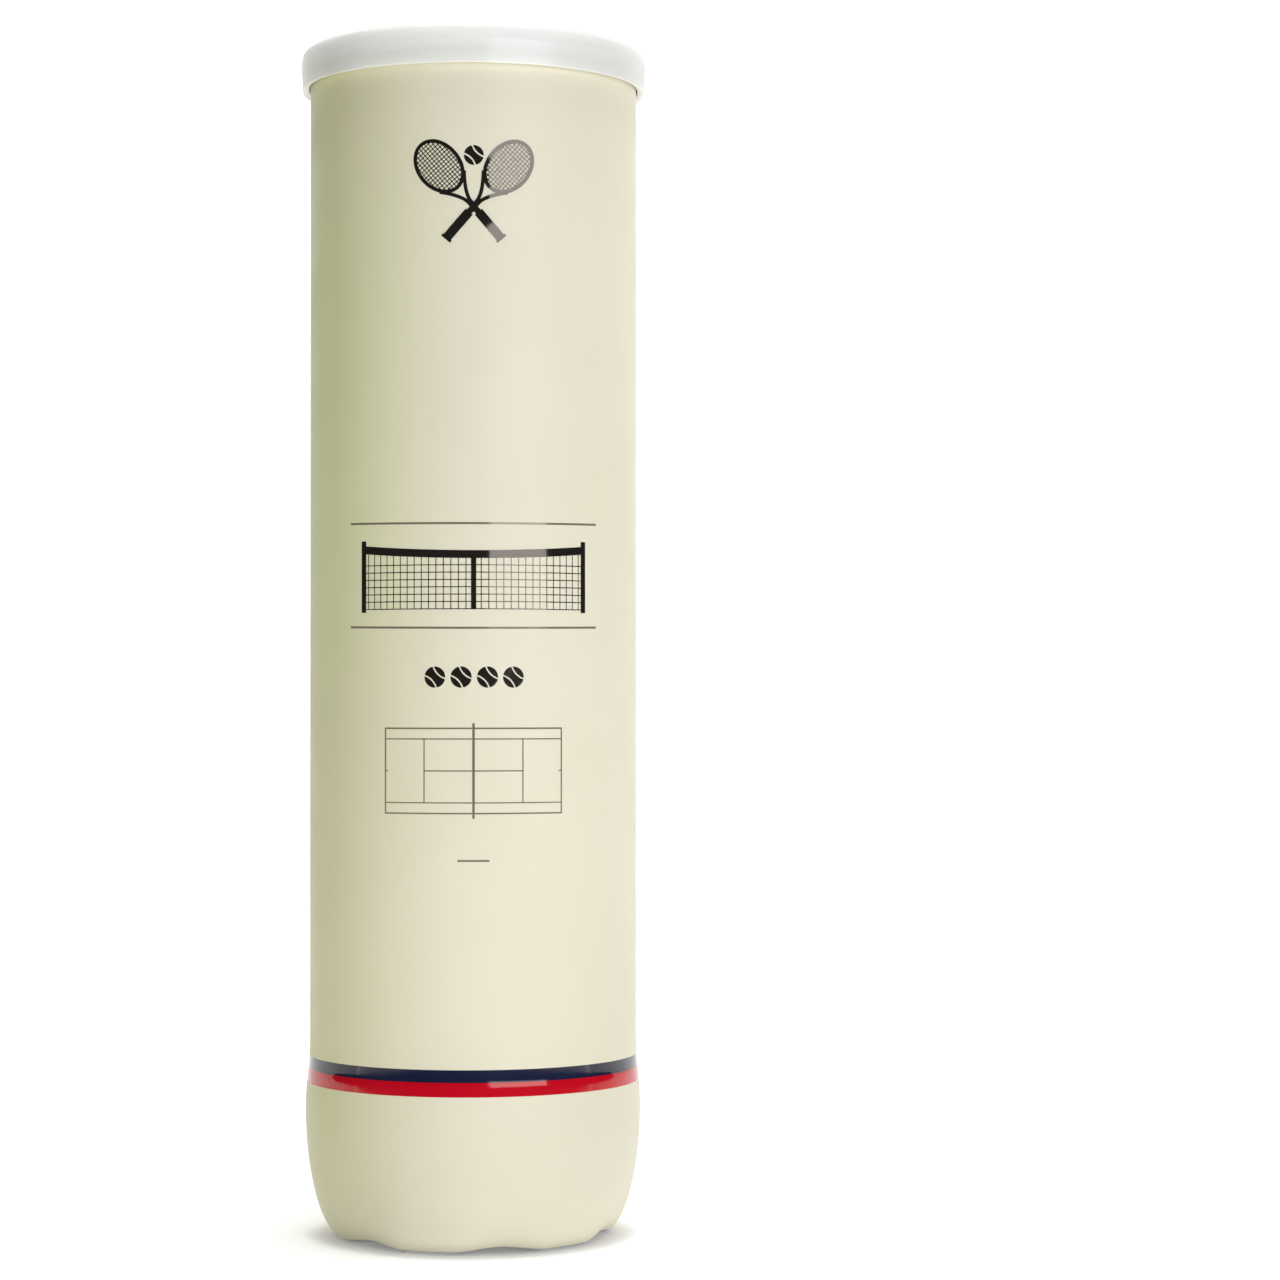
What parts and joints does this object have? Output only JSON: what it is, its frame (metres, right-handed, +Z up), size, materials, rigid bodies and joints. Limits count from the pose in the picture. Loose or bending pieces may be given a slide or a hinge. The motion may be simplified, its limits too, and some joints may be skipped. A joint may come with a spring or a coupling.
{
  "type": "tennis ball can",
  "caption": "Tall round tennis-ball can in a cream film sleeve, with a petal-footed base, ring-pull metal end and push-on lid, holding a stack of felt-covered balls.",
  "frame": {"origin": "middle of the base, on the plane of the foot pads", "axes": "+Z up along the can, -Y towards the front of the label"},
  "size_m": [0.0798, 0.0798, 0.2731],
  "materials": {
    "shell_plastic": "gloss",
    "sleeve_film": "gloss",
    "end_metal": "satin",
    "seam_rubber": "matte",
    "lid_plastic": "satin",
    "ball_felt": "matte",
    "ball_seam_rubber": "matte",
    "ball_core_rubber": "matte"
  },
  "bodies": {
    "can": {"can_body": "shell_plastic", "label_sleeve": "sleeve_film", "end_ring": "end_metal", "seam_compound": "seam_rubber"},
    "lid": {"lid": "lid_plastic"},
    "seal": {"tear_panel": "end_metal"},
    "tab": {"pull_tab": "end_metal"},
    "ball_1": {"ball_1_core_upper": "ball_core_rubber", "ball_1_core_lower": "ball_core_rubber", "ball_1_felt_a": "ball_felt", "ball_1_felt_b": "ball_felt", "ball_1_seam": "ball_seam_rubber"},
    "ball_2": {"ball_2_core_upper": "ball_core_rubber", "ball_2_core_lower": "ball_core_rubber", "ball_2_felt_a": "ball_felt", "ball_2_felt_b": "ball_felt", "ball_2_seam": "ball_seam_rubber"},
    "ball_3": {"ball_3_core_upper": "ball_core_rubber", "ball_3_core_lower": "ball_core_rubber", "ball_3_felt_a": "ball_felt", "ball_3_felt_b": "ball_felt", "ball_3_seam": "ball_seam_rubber"},
    "ball_4": {"ball_4_core_upper": "ball_core_rubber", "ball_4_core_lower": "ball_core_rubber", "ball_4_felt_a": "ball_felt", "ball_4_felt_b": "ball_felt", "ball_4_seam": "ball_seam_rubber"}
  },
  "joints": [
    {"name": "lid_lift", "type": "slide", "parent": "can", "child": "lid", "axis": [0, 0, 1], "range_m": [0, 0.38]},
    {"name": "seal_tear", "type": "slide", "parent": "can", "child": "seal", "axis": [0, 0, 1], "range_m": [0, 0.3307]},
    {"name": "tab_lift", "type": "hinge", "parent": "seal", "child": "tab", "pos_m": [0, -0.029, 0.267], "axis": [1, 0, 0], "range_deg": [0, 80]},
    {"name": "ball_4_out", "type": "slide", "parent": "can", "child": "ball_4", "axis": [0, 0, 1], "range_m": [0, 0.3022]},
    {"name": "ball_3_out", "type": "slide", "parent": "can", "child": "ball_3", "axis": [0, 0, 1], "range_m": [0, 0.2919]},
    {"name": "ball_2_out", "type": "slide", "parent": "can", "child": "ball_2", "axis": [0, 0, 1], "range_m": [0, 0.2821]},
    {"name": "ball_1_out", "type": "slide", "parent": "can", "child": "ball_1", "axis": [0, 0, 1], "range_m": [0, 0.2722]}
  ],
  "couplings": [
    {"joint": "seal_tear", "follows": "lid_lift", "ratio": 0.87},
    {"joint": "tab_lift", "follows": "lid_lift", "rad_per_m": 3.6698},
    {"joint": "ball_4_out", "follows": "lid_lift", "ratio": 0.795},
    {"joint": "ball_3_out", "follows": "lid_lift", "ratio": 0.768},
    {"joint": "ball_2_out", "follows": "lid_lift", "ratio": 0.742},
    {"joint": "ball_1_out", "follows": "lid_lift", "ratio": 0.716}
  ]
}
